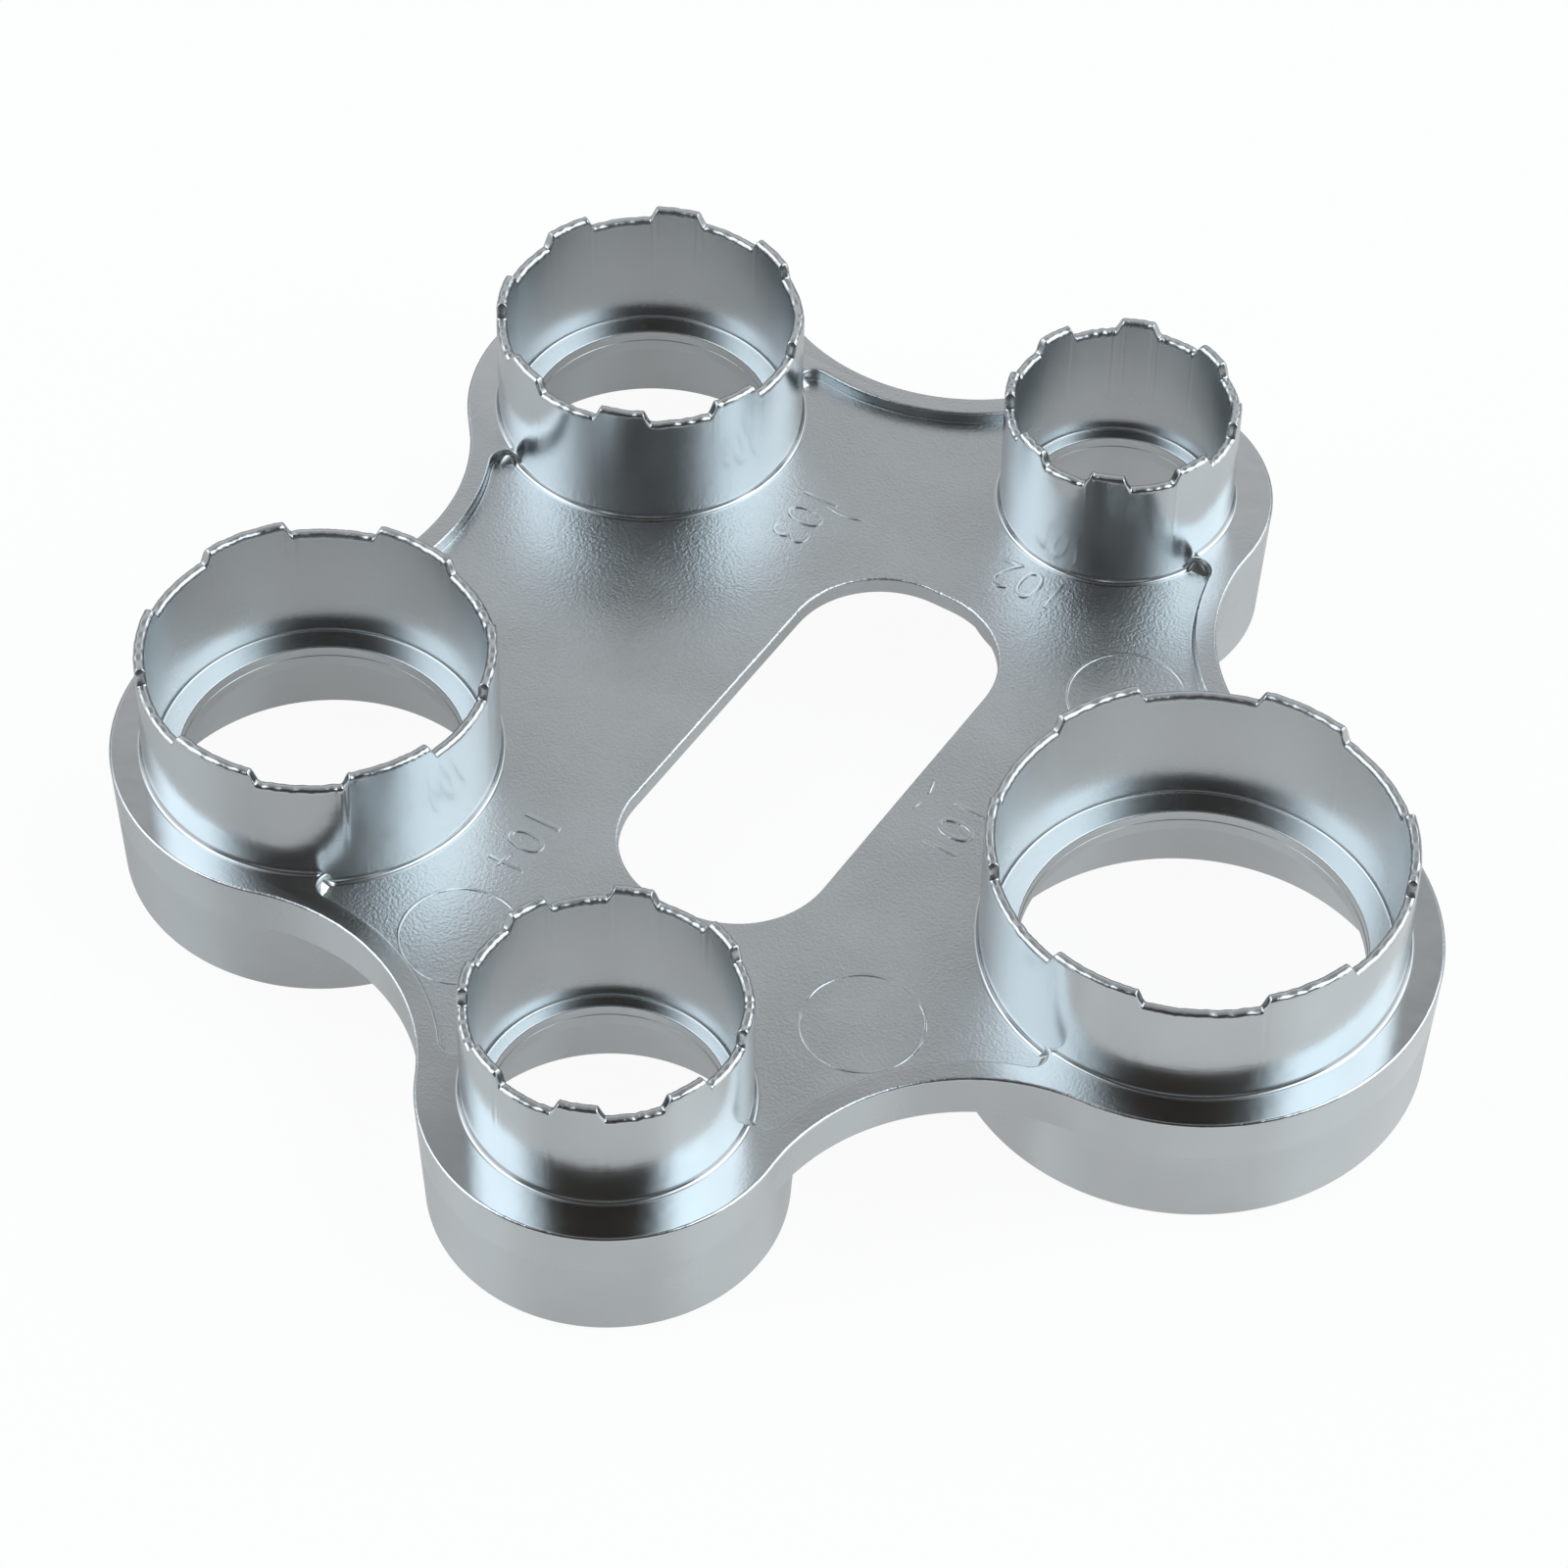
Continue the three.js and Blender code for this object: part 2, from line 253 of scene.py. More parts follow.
def write_mesh(
    name: str, points: np.ndarray, faces: list[np.ndarray], worn: np.ndarray, satin: np.ndarray
) -> bpy.types.Object:
    """Writes a surface to a new object at the origin.

    Args:
        name: name of the object.
        points: vertices in millimetres, as (vertex, 3).
        faces: arrays of vertex numbers, one for each number of corners.
        worn: how worn each vertex is, from 0 to 1.
        satin: how dull each vertex is, from 0 to 1.

    Returns:
        The new object, smooth but for its sharp edges.
    """
    mesh = bpy.data.meshes.new(name)
    loops = np.concatenate([array.ravel() for array in faces])
    sizes = np.concatenate([np.full(len(array), array.shape[1]) for array in faces])
    mesh.vertices.add(len(points))
    mesh.vertices.foreach_set("co", (points * MM).astype(np.float32).ravel())
    mesh.loops.add(len(loops))
    mesh.loops.foreach_set("vertex_index", loops.astype(np.int32))
    mesh.polygons.add(len(sizes))
    mesh.polygons.foreach_set("loop_start", (np.cumsum(sizes) - sizes).astype(np.int32))
    for mark, values in (("worn", worn), ("satin", satin)):
        mesh.attributes.new(mark, "FLOAT", "POINT").data.foreach_set("value", values.astype(np.float32))
    mesh.update(calc_edges=True)
    mesh.validate()
    return place_mesh(name, mesh)


def place_mesh(name: str, mesh: bpy.types.Mesh) -> bpy.types.Object:
    """Puts a mesh into the scene as a smooth piece with sharp edges.

    Args:
        name: name of the object.
        mesh: the finished mesh, in metres.

    Returns:
        The new object.
    """
    mesh.shade_smooth()
    mesh.set_sharp_from_angle(angle=SHARP_ANGLE)
    piece = bpy.data.objects.new(name, mesh)
    bpy.context.scene.collection.objects.link(piece)
    normals = piece.modifiers.new("flat_faces_stay_flat", "WEIGHTED_NORMAL")
    normals.keep_sharp = True
    return piece


def turn_faces_out(piece: bpy.types.Object) -> None:
    """Merges the doubles of a closed mesh, turns its faces out and marks its sharp edges.

    Args:
        piece: the piece with the mesh.
    """
    work = bmesh.new()
    work.from_mesh(piece.data)
    bmesh.ops.remove_doubles(work, verts=work.verts, dist=MERGE_DISTANCE)
    bmesh.ops.recalc_face_normals(work, faces=work.faces)
    work.to_mesh(piece.data)
    work.free()
    piece.data.set_sharp_from_angle(angle=SHARP_ANGLE)


def add_node(tree: bpy.types.NodeTree, kind: str, inputs: dict, **settings: object) -> bpy.types.Node:
    """Adds a node, with its settings, and with its inputs linked or set.

    Args:
        tree: node tree of a material, a world or a group.
        kind: the node's type.
        inputs: a socket to link or a value to set, by the input's name or number.
        settings: the node's own properties.

    Returns:
        The new node.
    """
    node = tree.nodes.new(kind)
    for name, value in settings.items():
        setattr(node, name, value)
    for name, value in inputs.items():
        if isinstance(value, bpy.types.NodeSocket):
            tree.links.new(value, node.inputs[name])
        else:
            node.inputs[name].default_value = value
    return node


def calculate(
    tree: bpy.types.NodeTree, operation: str, *values: object, clamp: bool = False
) -> bpy.types.NodeSocket:
    """Adds a node of arithmetic.

    Args:
        tree: node tree of a material, a world or a group.
        operation: what the node does.
        values: a socket to link or a number to set, for its inputs in order.
        clamp: whether the result is held between 0 and 1.

    Returns:
        The result.
    """
    inputs = dict(enumerate(values))
    return add_node(tree, "ShaderNodeMath", inputs, operation=operation, use_clamp=clamp).outputs[0]


def remap(
    tree: bpy.types.NodeTree,
    value: bpy.types.NodeSocket,
    source: tuple[float, float],
    target: tuple[float, float] = (0.0, 1.0),
    curve: str = "SMOOTHSTEP",
) -> bpy.types.NodeSocket:
    """Adds a node that carries one range of a value over to another.

    Args:
        tree: node tree of a material, a world or a group.
        value: the value.
        source: the range that it is read in.
        target: the range that it is carried to.
        curve: how it runs between the ends.

    Returns:
        The new value.
    """
    inputs = {
        "Value": value,
        "From Min": source[0],
        "From Max": source[1],
        "To Min": target[0],
        "To Max": target[1],
    }
    return add_node(tree, "ShaderNodeMapRange", inputs, interpolation_type=curve).outputs[0]


def blend(
    tree: bpy.types.NodeTree, share: bpy.types.NodeSocket, first: object, second: object
) -> bpy.types.NodeSocket:
    """Adds a node that mixes two colours.

    Args:
        tree: node tree of a material, a world or a group.
        share: how much of the second colour there is.
        first: a socket, or a colour with its alpha.
        second: the same.

    Returns:
        The mixed colour.
    """
    inputs = {0: share, 6: first, 7: second}
    return add_node(tree, "ShaderNodeMix", inputs, data_type="RGBA").outputs[2]


def noise(
    tree: bpy.types.NodeTree,
    place: bpy.types.NodeSocket,
    scale: float,
    detail: float = 2.0,
    roughness: float = 0.5,
) -> bpy.types.NodeSocket:
    """Adds a noise texture.

    Args:
        tree: node tree of a material or a group.
        place: where it is read.
        scale: its scale, for places in metres.
        detail: number of finer layers.
        roughness: strength of each finer layer.

    Returns:
        The noise, about 0.5.
    """
    inputs = {"Vector": place, "Scale": scale, "Detail": detail, "Roughness": roughness}
    return add_node(tree, "ShaderNodeTexNoise", inputs).outputs[0]


def new_group(
    name: str, inputs: dict[str, str], outputs: dict[str, str]
) -> tuple[bpy.types.NodeTree, bpy.types.Node, bpy.types.Node]:
    """Starts a shader node group.

    Args:
        name: name of the group.
        inputs: socket type of each input, by name.
        outputs: socket type of each output, by name.

    Returns:
        The group's tree, its input node and its output node.
    """
    tree = bpy.data.node_groups.new(name, "ShaderNodeTree")
    for socket, kind in inputs.items():
        tree.interface.new_socket(socket, in_out="INPUT", socket_type=kind)
    for socket, kind in outputs.items():
        tree.interface.new_socket(socket, in_out="OUTPUT", socket_type=kind)
    return tree, tree.nodes.new("NodeGroupInput"), tree.nodes.new("NodeGroupOutput")


NUMBER = "NodeSocketFloat"
PLACE = "NodeSocketVector"
PIMPLE_SCALE = 4600.0
PIMPLE_ROUGHNESS = 0.6
WAVE_SCALE = 700.0
STREAK_SCALE = 2600.0
STREAK_STRETCH = (0.12, 0.12, 2.2)
TONE_SCALE = 140.0
WEAR_SCALE = 1500.0
WEAR_RANGE = (0.38, 0.56)  # noise between which an edge goes from least to most worn
WEAR_SHARES = (0.25, 1.0)  # how worn it is there


def cast_grain_group() -> bpy.types.NodeTree:
    """Grain of a cast and plated surface: fine pimples, soft waves and streaks along the walls.

    Returns:
        A group that puts out a height for bump and a slow tone for colour and roughness.
    """
    strengths = {"Pimples": NUMBER, "Waves": NUMBER, "Streaks": NUMBER}
    tree, source, result = new_group(
        "cast_grain", {"Vector": PLACE, **strengths}, {"Height": NUMBER, "Tone": NUMBER}
    )
    place = source.outputs["Vector"]
    stretched = add_node(tree, "ShaderNodeMapping", {"Vector": place, "Scale": STREAK_STRETCH})
    textures = (
        noise(tree, place, PIMPLE_SCALE, roughness=PIMPLE_ROUGHNESS),
        noise(tree, place, WAVE_SCALE, detail=1.0),
        noise(tree, stretched.outputs[0], STREAK_SCALE),
    )
    height = 0.0
    for strength, texture in zip(strengths, textures):
        height = calculate(tree, "MULTIPLY_ADD", texture, source.outputs[strength], height)
    tree.links.new(height, result.inputs["Height"])
    tree.links.new(noise(tree, place, TONE_SCALE, detail=4.0), result.inputs["Tone"])
    return tree


def edge_wear_group() -> bpy.types.NodeTree:
    """Bright, uneven wear along rounded edges.

    Returns:
        A group that breaks a mask of edges up with noise and puts the worn mask out.
    """
    tree, source, result = new_group("edge_wear", {"Vector": PLACE, "Edges": NUMBER}, {"Mask": NUMBER})
    spots = noise(tree, source.outputs["Vector"], WEAR_SCALE)
    broken = remap(tree, spots, WEAR_RANGE, WEAR_SHARES, curve="LINEAR")
    mask = calculate(tree, "MULTIPLY", source.outputs["Edges"], broken, clamp=True)
    tree.links.new(mask, result.inputs["Mask"])
    return tree


class Look(Enum):
    """The surfaces of the casting that are finished differently."""

    DECK = "deck_plate"
    RIM = "rim_plate"
    SOCKET = "socket_plate"
    MARK = "raised_marks"


@dataclass(frozen=True)
class ZincFinish:
    """Satin zinc plating over a casting.

    Smooth and dull are the ends of its roughness. Tones is the range of the grain's tone that runs from
    dark to light and from smooth to dull. Pimples, waves, streaks and dents are shares of the depth, in
    metres. Satin and satin_pimples are added where the mesh is marked as satin. Colours are linear.
    """

    look: Look
    smooth: float
    dull: float
    waves: float
    pimples: float = 0.0
    streaks: float = 0.0
    satin: float = 0.0
    satin_pimples: float = 0.0
    dark: tuple[float, float, float] = (0.575, 0.6, 0.615)
    light: tuple[float, float, float] = (0.625, 0.65, 0.665)
    bare_edge: tuple[float, float, float] = (0.76, 0.78, 0.8)
    tones: tuple[float, float] = (0.25, 0.75)
    dents: float = 1.5
    depth: float = 0.00002

    def material(self, grain: bpy.types.NodeTree, wear: bpy.types.NodeTree) -> bpy.types.Material:
        """Builds the finish as a material.

        Args:
            grain: the group of the cast grain.
            wear: the group of the worn edges.

        Returns:
            The new material.
        """
        material = bpy.data.materials.new(self.look.value)
        material.use_nodes = True
        tree = material.node_tree
        metal = tree.nodes["Principled BSDF"]
        metal.inputs["Metallic"].default_value = 1.0
        place = add_node(tree, "ShaderNodeTexCoord", {}).outputs["Object"]
        edges, satin = (
            add_node(tree, "ShaderNodeAttribute", {}, attribute_name=mark).outputs["Fac"]
            for mark in ("worn", "satin")
        )
        pimples = calculate(tree, "MULTIPLY_ADD", satin, self.satin_pimples, self.pimples)
        strengths = {"Pimples": pimples, "Waves": self.waves, "Streaks": self.streaks}
        cast = add_node(tree, "ShaderNodeGroup", {"Vector": place, **strengths}, node_tree=grain)
        worn = add_node(tree, "ShaderNodeGroup", {"Vector": place, "Edges": edges}, node_tree=wear)
        mask = worn.outputs["Mask"]
        tone = remap(tree, cast.outputs["Tone"], self.tones)
        plating = blend(tree, tone, (*self.dark, 1.0), (*self.light, 1.0))
        colour = blend(tree, mask, plating, (*self.bare_edge, 1.0))
        tree.links.new(colour, metal.inputs["Base Color"])
        roughness = remap(tree, cast.outputs["Tone"], self.tones, (self.smooth, self.dull))
        duller = calculate(tree, "MULTIPLY_ADD", satin, self.satin, roughness)
        tree.links.new(duller, metal.inputs["Roughness"])
        height = calculate(tree, "MULTIPLY_ADD", mask, self.dents, cast.outputs["Height"])
        relief = {"Height": height, "Strength": 1.0, "Distance": self.depth}
        bump = add_node(tree, "ShaderNodeBump", relief)
        tree.links.new(bump.outputs[0], metal.inputs["Normal"])
        return material


FINISHES = (
    ZincFinish(Look.DECK, smooth=0.29, dull=0.37, waves=0.3, pimples=1.7),
    ZincFinish(Look.RIM, smooth=0.12, dull=0.17, waves=0.5, satin=0.12, satin_pimples=0.7),
    ZincFinish(
        Look.SOCKET,
        smooth=0.17,
        dull=0.22,
        waves=0.6,
        streaks=0.15,
        satin=0.13,
        satin_pimples=0.15,
        bare_edge=(0.78, 0.8, 0.82),
    ),
    ZincFinish(Look.MARK, smooth=0.24, dull=0.32, waves=0.3, pimples=0.5),
)


@dataclass(frozen=True)
class Levels:
    """Heights above the table at which the casting changes, in millimetres."""

    skirt_top: float
    deck_bottom: float
    deck_top: float
    shelf: float
    tip: float
    ledge_depth: float = 0.3
    flange_thickness: float = 1.7

    @classmethod
    def from_frame(cls, name: str) -> "Levels":
        """Reads the levels from the boxes of one socket's nodes."""
        low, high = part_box(f"deck_{name}")
        return cls(
            skirt_top=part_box(f"skirt_{name}")[1].z / MM,
            deck_bottom=low.z / MM,
            deck_top=high.z / MM,
            shelf=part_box(f"rim_upper_{name}")[1].z / MM,
            tip=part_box(f"crown_{name}")[1].z / MM,
        )

    @property
    def ledge(self) -> float:
        """Level of the ledge inside each socket."""
        return self.deck_top - self.ledge_depth

    @property
    def flange_bottom(self) -> float:
        """Level of the metal's underside below the ledge."""
        return self.ledge - self.flange_thickness


@dataclass
class Socket:
    """One socket: a thin toothed crown, the ledge inside it and the hollow skirt that it stands on."""

    name: str
    levels: Levels
    centre: np.ndarray
    crown: float
    boss: float
    ledge_width: float
    teeth: int
    tooth_width: float
    seed: int
    wall: float = 0.7
    tooth_height: float = 0.9
    tooth_flank: float = 0.35
    flank_round: float = 0.12
    foot_inset: float = 0.46
    skirt_wall: float = 1.1
    base_fillet: float = 0.28
    tip_round: float = 0.29
    tip_band: float = 0.5
    ledge_fillet: float = 0.2
    ledge_round: float = 0.1
    flange_round: float = 0.15
    skirt_fillet: float = 0.4
    foot_round: float = 0.25
    mould_step: float = 0.035
    mould_line: float = 0.75
    burr: float = 0.02
    burr_waves: tuple[int, int] = (9, 90)
    bead: float = 0.018
    bead_waves: tuple[int, int] = (40, 170)
    sunk: float = 0.2
    inset: float = 0.004
    hidden_share: float = 0.64
    columns: int = 860
    fine_columns: int = 20000
    flank_density: float = 8.0
    enter: float = 0.0
    leave: float = 0.0
    ramp: float = 1.0

    @classmethod
    def from_frame(
        cls, name: str, ledge_width: float, teeth: int, tooth_width: float, seed: int
    ) -> "Socket":
        """Places a socket and sizes its crown and boss by the boxes of its nodes.

        Args:
            name: ending of the nodes' names.
            ledge_width: width of the step inside.
            teeth: number of teeth.
            tooth_width: width of a tooth round the crown.
            seed: seed of its irregular edge.

        Returns:
            The socket, without the ends of its recess.
        """
        low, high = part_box(f"crown_{name}")
        skirt_low, skirt_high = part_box(f"skirt_{name}")
        return cls(
            name=name,
            levels=Levels.from_frame(name),
            centre=np.array([low.x + high.x, low.y + high.y]) / (2.0 * MM),
            crown=(high.x - low.x) / (2.0 * MM),
            boss=(skirt_high.x - skirt_low.x) / (2.0 * MM),
            ledge_width=ledge_width,
            teeth=teeth,
            tooth_width=tooth_width,
            seed=seed,
        )

    @property
    def hidden(self) -> float:
        """Radius inside the crown's wall at which neighbouring pieces end unseen."""
        return self.crown - self.wall * self.hidden_share

    def boss_at(self, level: np.ndarray | float) -> np.ndarray | float:
        """Radius of the boss, which narrows evenly from the shelf to its foot."""
        return self.boss - self.foot_inset * (self.levels.shelf - level) / self.levels.shelf

    def flank_distance(self, angles: np.ndarray) -> np.ndarray:
        """Distance along the crown from the middle of the nearest tooth's flank, outwards positive.

        A gap lies on +X, and the teeth follow at half a pitch.

        Args:
            angles: bearings to measure at.

        Returns:
            The distances, below 0 on a tooth and above 0 in a gap.
        """
        pitch = TURN / self.teeth
        from_tooth = np.abs((angles % pitch) - pitch / 2.0) * self.crown
        return from_tooth - (self.tooth_width + self.tooth_flank) / 2.0

    def angles(self) -> np.ndarray:
        """Bearings of the columns, denser at the flanks of the teeth than elsewhere.

        The density is 1 plus a bell curve of the distance from the nearest flank, and its sum is cut into
        equal shares.

        Returns:
            The bearings, round one turn.
        """
        fine = np.linspace(0.0, TURN, self.fine_columns)
        near = np.exp(-((self.flank_distance(fine) / (self.tooth_flank + self.flank_round)) ** 2))
        share = np.concatenate([[0.0], np.cumsum(1.0 + self.flank_density * near[:-1])])
        wanted = np.arange(self.columns) / self.columns * share[-1]
        return np.interp(wanted, share, fine)

    def tops(self, angles: np.ndarray) -> np.ndarray:
        """Height of the crown's edge: gap floors and tooth tips joined by smooth sloping flanks.

        Args:
            angles: bearings of the columns.

        Returns:
            The heights, slightly uneven and nowhere above the tips' level.
        """
        run = self.tooth_flank + 2.0 * self.flank_round
        raised = 1.0 - smoothstep(self.flank_distance(angles) / run + 0.5)
        uneven = self.burr * ripple(angles, self.burr_waves, self.seed)
        low = self.levels.tip - self.tooth_height
        return np.minimum(low + self.tooth_height * raised + uneven - self.burr, self.levels.tip)

    def recess_share(self, angles: np.ndarray) -> np.ndarray:
        """Where the crown stands on the deck and where on the shelf.

        Args:
            angles: bearings of the columns.

        Returns:
            1 on the deck and 0 on the shelf, with a ramp between.
        """
        width = left_turn(self.leave, self.enter)
        inside = (angles - self.leave) % TURN
        beyond = np.minimum(inside - width, TURN - inside)
        return 1.0 - smoothstep(np.where(inside <= width, 0.0, beyond) * self.crown / self.ramp)

    def section(self, angles: np.ndarray) -> Section:
        """The socket's section at each bearing, closed, from the crown's foot over its tip to the boss.

        Args:
            angles: bearings of the columns.

        Returns:
            The section, with radius and height as its points. Only its tip is beaded.
        """
        levels = self.levels
        deck = self.recess_share(angles)
        base = levels.shelf + (levels.deck_top - levels.shelf) * deck + FEATHER_RISE
        toe = self.crown + self.base_fillet + FEATHER_WIDTH
        top = self.tops(angles)
        bore = self.crown - self.wall
        outer_tip = self.crown + self.bead * ripple(angles, self.bead_waves, self.seed + 1)
        inner_tip = bore + self.bead * ripple(angles, self.bead_waves, self.seed + 2)
        ledge = bore - self.ledge_width
        line = levels.ledge - self.mould_line
        flange = ledge - self.mould_step
        skirt = self.boss - self.foot_inset - self.skirt_wall
        hidden_top = (levels.deck_bottom + levels.deck_top) / 2.0
        return round_section(
            [
                Corner(toe, base - self.sunk),
                Corner(toe, base),
                Corner(self.crown, base, self.base_fillet),
                Corner(self.crown, top - self.tip_band),
                Corner(outer_tip, top, self.tip_round, worn=0.3),
                Corner(inner_tip, top, self.tip_round, worn=0.3, satin=0.5),
                Corner(bore, top - self.tip_band, satin=1.0),
                Corner(bore, levels.ledge, self.ledge_fillet, satin=0.6),
                Corner(ledge, levels.ledge, self.ledge_round, worn=0.1, satin=0.5),
                Corner(ledge, line, satin=1.0),
                Corner(flange, line - self.mould_step, satin=1.0),
                Corner(flange, levels.flange_bottom, self.flange_round, worn=0.1, satin=1.0),
                Corner(skirt, levels.flange_bottom, self.skirt_fillet, satin=1.0),
                Corner(skirt, 0.0, self.foot_round, worn=0.1, satin=0.7),
                Corner(self.boss_at(0.0), 0.0, self.foot_round, worn=0.2, satin=0.5),
                Corner(self.boss_at(hidden_top) - self.inset, hidden_top, satin=0.5),
            ],
            len(angles),
        )

    def build(self) -> bpy.types.Object:
        """Turns the section round the socket's axis.

        Returns:
            The socket as one closed mesh.
        """
        angles = self.angles()
        section = self.section(angles)
        points = section.carried(self.centre, direction(angles))
        rows, columns = points.shape[:2]
        vertices = points.reshape(-1, 3)
        quads = facing_out(vertices, grid_faces(rows, columns, True))
        worn, satin = (np.repeat(mark, columns) for mark in (section.worn, section.satin))
        return write_mesh(f"socket_{self.name}", vertices, [quads], worn, satin)


@dataclass
class Web:
    """Hollow edge of the plate between two neighbouring sockets, with the rim along it."""

    first: Socket
    second: Socket
    radius: float = 13.7
    rim: float = 1.5
    corner: float = 1.0

    @property
    def centre(self) -> np.ndarray:
        """Centre of the hollow edge, which touches both bosses from outside."""
        return point_at_distances(
            self.first.centre,
            self.first.boss + self.radius,
            self.second.centre,
            self.second.boss + self.radius,
            side=-1,
        )

    def recess_end(self, socket: Socket) -> tuple[np.ndarray, float]:
        """Round end of the recess between a crown's wall and the rim.

        Args:
            socket: the web's first or second socket.

        Returns:
            Centre and radius of the end.
        """
        rim = self.radius + self.rim
        gap = np.linalg.norm(socket.centre - self.centre) - socket.crown - rim
        radius = max(self.corner, gap / 2.0)
        side = 1 if socket is self.first else -1
        return (
            point_at_distances(socket.centre, socket.crown + radius, self.centre, rim + radius, side),
            radius,
        )


@dataclass
class EdgePath:
    """Columns along the plate's edge: where its outer and inner walls run, and which way they face."""

    outer: np.ndarray
    outward: np.ndarray
    upper: np.ndarray
    upper_inward: np.ndarray
    lower: np.ndarray
    lower_inward: np.ndarray
    satin: np.ndarray

    @classmethod
    def joined(cls, parts: list["EdgePath"]) -> "EdgePath":
        """Joins stretches of the edge end to end."""
        names = cls.__dataclass_fields__
        return cls(**{name: np.concatenate([getattr(part, name) for part in parts]) for name in names})


@dataclass
class Plate:
    """The plate that carries the sockets: its rim, its recessed deck and the hand slot in it.

    Unseen is how far the rim's rows run on inside the metal. Border columns are those of the deck's edge
    round a crown and along a web.
    """

    sockets: list[Socket]
    slot_middle: np.ndarray
    slot_length: float = 31.5
    slot_width: float = 13.8
    slot_corner: float = 6.2
    slot_round: float = 0.2
    rim_outer_round: float = 0.2
    rim_inner_round: float = 0.2
    rim_bottom_round: float = 0.25
    recess_fillet: float = 0.08
    arc_start: float = math.radians(12.0)
    under_fillet: float = 0.3
    skirt_cover: float = 1.2
    turned_end: float = 0.16
    hidden_facing: float = 0.3
    unseen: float = 0.5
    corner_columns: int = 16
    rim_columns: int = 56
    lobe_columns: int = 150
    slot_columns: int = 24
    border_columns: tuple[int, int] = (90, 40)

    def __post_init__(self) -> None:
        """Finds the webs, and tells each socket where its recess begins and ends."""
        following = self.sockets[1:] + self.sockets[:1]
        self.webs = [Web(first, second) for first, second in zip(self.sockets, following)]
        self.levels = self.sockets[0].levels
        for before, socket, after in self.around():
            socket.enter = bearing(socket.centre, before.recess_end(socket)[0])
            socket.leave = bearing(socket.centre, after.recess_end(socket)[0])

    def around(self) -> list[tuple[Web, Socket, Web]]:
        """Each socket with the webs before and after it, counter-clockwise."""
        return list(zip(self.webs[-1:] + self.webs[:-1], self.sockets, self.webs))

    def web_path(self, web: Web) -> EdgePath:
        """The edge along a web: round the first recess end, along the rim, round the second recess end.

        Args:
            web: the web.

        Returns:
            Its columns, with the outer wall on the hollow edge.
        """
        middle = web.centre
        start = bearing(middle, web.first.centre)
        marks = [0.0]
        ends = [web.recess_end(web.first), web.recess_end(web.second)]
        marks += [left_turn(bearing(middle, centre), start) for centre, _ in ends]
        marks.append(left_turn(bearing(middle, web.second.centre), start))
        counts = (self.corner_columns, self.rim_columns, self.corner_columns + 1)
        last = len(counts) - 1
        turns = [
            np.linspace(marks[part], marks[part + 1], count, endpoint=part == last)
            for part, count in enumerate(counts)
        ]
        facing = direction(start - np.concatenate(turns))
        along = direction(start - turns[1])
        uppers = [middle + along * (web.radius + web.rim)]
        inwards = [along]
        for part, socket, (centre, radius) in zip((0, last), (web.first, web.second), ends):
            turn = self.arc_start if part == 0 else -self.arc_start
            to_crown = bearing(centre, socket.centre) + turn
            to_rim = bearing(centre, middle)
            begin, finish = (to_crown, to_rim) if part == 0 else (to_rim, to_crown)
            share = np.linspace(0.0, 1.0, counts[part], endpoint=part == last)
            arc = direction(begin + left_turn(begin, finish) * share)
            uppers.insert(part, centre + arc * radius)
            inwards.insert(part, -arc)
        return EdgePath(
            outer=middle + facing * web.radius,
            outward=-facing,
            upper=np.concatenate(uppers),
            upper_inward=np.concatenate(inwards),
            lower=middle + facing * (web.radius + web.rim),
            lower_inward=facing,
            satin=np.ones(len(facing)),
        )

    def lobe_path(self, before: Web, socket: Socket, after: Web) -> EdgePath:
        """The edge round a boss, with its inner walls hidden inside the socket's walls.

        The hidden rows of the upper wall spread as a half sine, and close up at both ends.

        Args:
            before: the web before the socket.
            socket: the socket.
            after: the web after the socket.

        Returns:
            Its columns, without the ends, which belong to the webs.
        """
        share = np.linspace(0.0, 1.0, self.lobe_columns + 2)[1:-1]
        start = bearing(socket.centre, before.centre)
        facing = direction(start + left_turn(start, bearing(socket.centre, after.centre)) * share)
        way = np.linspace(0.0, 1.0, self.lobe_columns)
        inner = direction(socket.enter + left_turn(socket.enter, socket.leave) * way)
        spread = np.sin(math.pi * way)[:, None]
        return EdgePath(
            outer=socket.centre + facing * socket.boss,
            outward=facing,
            upper=socket.centre + inner * socket.hidden,
            upper_inward=-inner * self.hidden_facing * spread,
            lower=socket.centre + facing * (socket.boss - self.skirt_cover),
            lower_inward=-facing * self.hidden_facing,
            satin=1.0 - smoothstep(np.minimum(share, 1.0 - share) / self.turned_end),
        )

    def edge_path(self) -> EdgePath:
        """The whole closed edge.

        Returns:
            Its columns, socket by socket, counter-clockwise.
        """
        parts = []
        for before, socket, after in self.around():
            parts += [self.lobe_path(before, socket, after), self.web_path(after)]
        return EdgePath.joined(parts)

